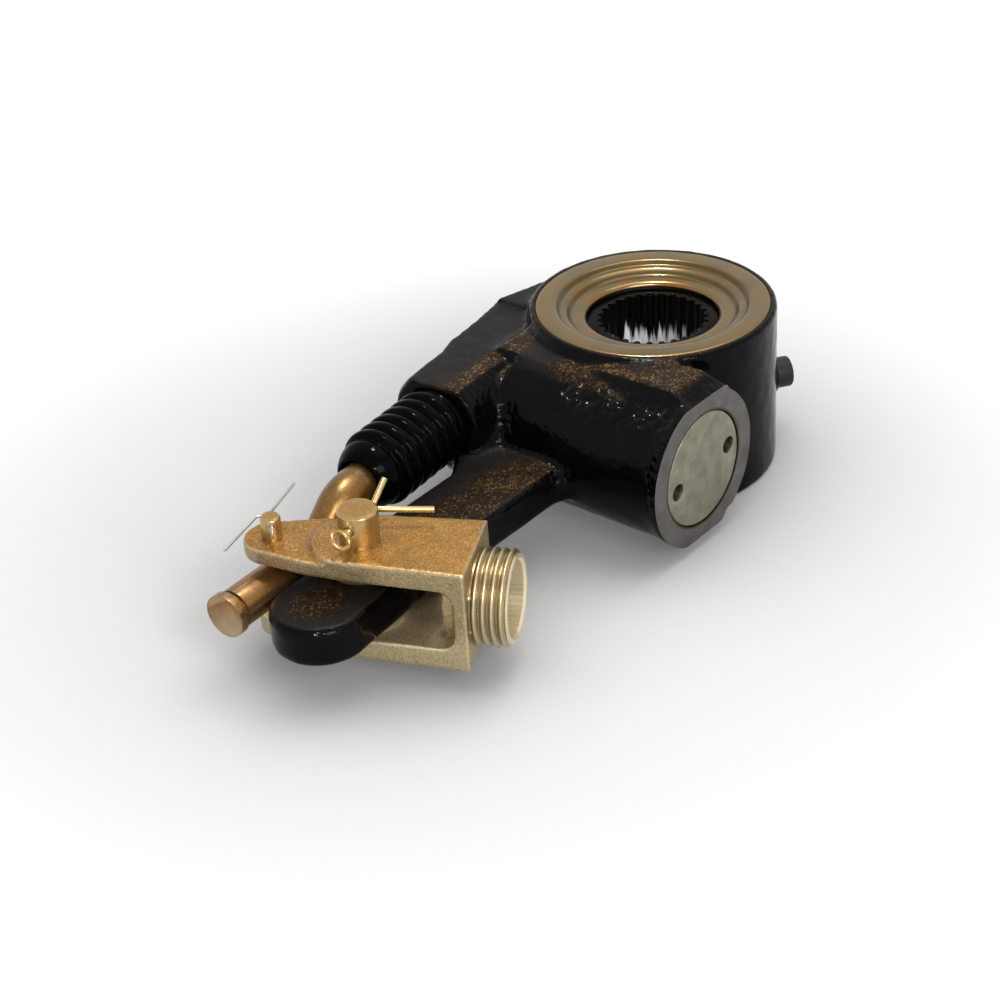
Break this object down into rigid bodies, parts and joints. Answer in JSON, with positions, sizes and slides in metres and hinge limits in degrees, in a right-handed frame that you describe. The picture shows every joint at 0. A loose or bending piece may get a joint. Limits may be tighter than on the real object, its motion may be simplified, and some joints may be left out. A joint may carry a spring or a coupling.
{
  "type": "automatic slack adjuster",
  "caption": "Automatic brake slack adjuster: cast lever with splined worm wheel, worm cap, rack boot, bent link and pinned clevis.",
  "frame": {"origin": "on the camshaft spline axis, midway between the two faces of the hub", "axes": "+Z along the spline axis towards the face shown, +X along the arm to the clevis pin, +Y towards the screwed worm cap"},
  "size_m": [0.2345, 0.1088, 0.0596],
  "materials": {
    "black_paint": "gloss",
    "gold_zinc": "satin",
    "copper_zinc": "polished",
    "pale_zinc": "satin",
    "bright_steel": "satin",
    "dark_steel": "oiled",
    "bronze": "satin",
    "black_rubber": "semi gloss",
    "black_plastic": "matte"
  },
  "bodies": {
    "adjuster_body": {"housing": "black_paint", "cover_plate_top": "gold_zinc", "cover_plate_bottom": "gold_zinc", "wheel_bush_top": "bronze", "wheel_bush_bottom": "bronze", "wheel_seal_top": "black_rubber", "wheel_seal_bottom": "black_rubber", "worm_bush_inner": "bronze", "worm_bush_cap_end": "bronze", "thrust_washer": "bright_steel", "cup_springs": "dark_steel", "spring_seat": "bright_steel", "cap_gasket": "black_rubber", "worm_cap": "pale_zinc", "shaft_seal": "black_rubber", "rack_plug": "bright_steel", "rack_spring": "bright_steel", "boot": "black_rubber", "boot_ring": "bright_steel", "arm_bush": "dark_steel", "grease_plug": "black_plastic"},
    "wheel": {"worm_wheel": "dark_steel"},
    "worm": {"worm_shaft": "dark_steel", "adjusting_hex": "bright_steel", "hex_pin": "bright_steel"},
    "pinion_set": {"pinion": "dark_steel", "wrap_spring": "bright_steel"},
    "rack_bar": {"rack": "dark_steel"},
    "clevis_set": {"clevis": "gold_zinc", "clevis_pin": "gold_zinc", "link_pin": "gold_zinc", "clevis_cotter": "gold_zinc", "link_cotter": "bright_steel"},
    "link_rod": {"link": "copper_zinc"}
  },
  "joints": [
    {"name": "worm_spin", "type": "hinge", "parent": "adjuster_body", "child": "worm", "pos_m": [0.042, 0, 0], "axis": [0, 1, 0], "continuous": true},
    {"name": "wheel_spin", "type": "hinge", "parent": "adjuster_body", "child": "wheel", "pos_m": [0, 0, 0], "axis": [0, 0, 1], "continuous": true},
    {"name": "clevis_pivot", "type": "hinge", "parent": "adjuster_body", "child": "clevis_set", "pos_m": [0.1524, 0, 0], "axis": [0, 0, 1], "range_deg": [-35, 0]},
    {"name": "link_pivot", "type": "hinge", "parent": "clevis_set", "child": "link_rod", "pos_m": [0.16476, -0.02535, 0], "axis": [0, 0, 1], "range_deg": [0, 35]},
    {"name": "rack_slide", "type": "slide", "parent": "adjuster_body", "child": "rack_bar", "axis": [0.9945, 0.1045, 0], "range_m": [-0.0172, 0], "deforming": ["rack_spring", "boot"]},
    {"name": "pinion_spin", "type": "hinge", "parent": "adjuster_body", "child": "pinion_set", "pos_m": [0.042, -0.035, 0], "axis": [0, 1, 0], "range_deg": [-131, 0]}
  ],
  "couplings": [
    {"joint": "wheel_spin", "follows": "worm_spin", "ratio": -0.041667},
    {"joint": "link_pivot", "follows": "clevis_pivot", "ratio": -1},
    {"joint": "rack_slide", "follows": "clevis_pivot", "m_per_rad": 0.027737},
    {"joint": "pinion_spin", "follows": "clevis_pivot", "ratio": 3.678}
  ]
}
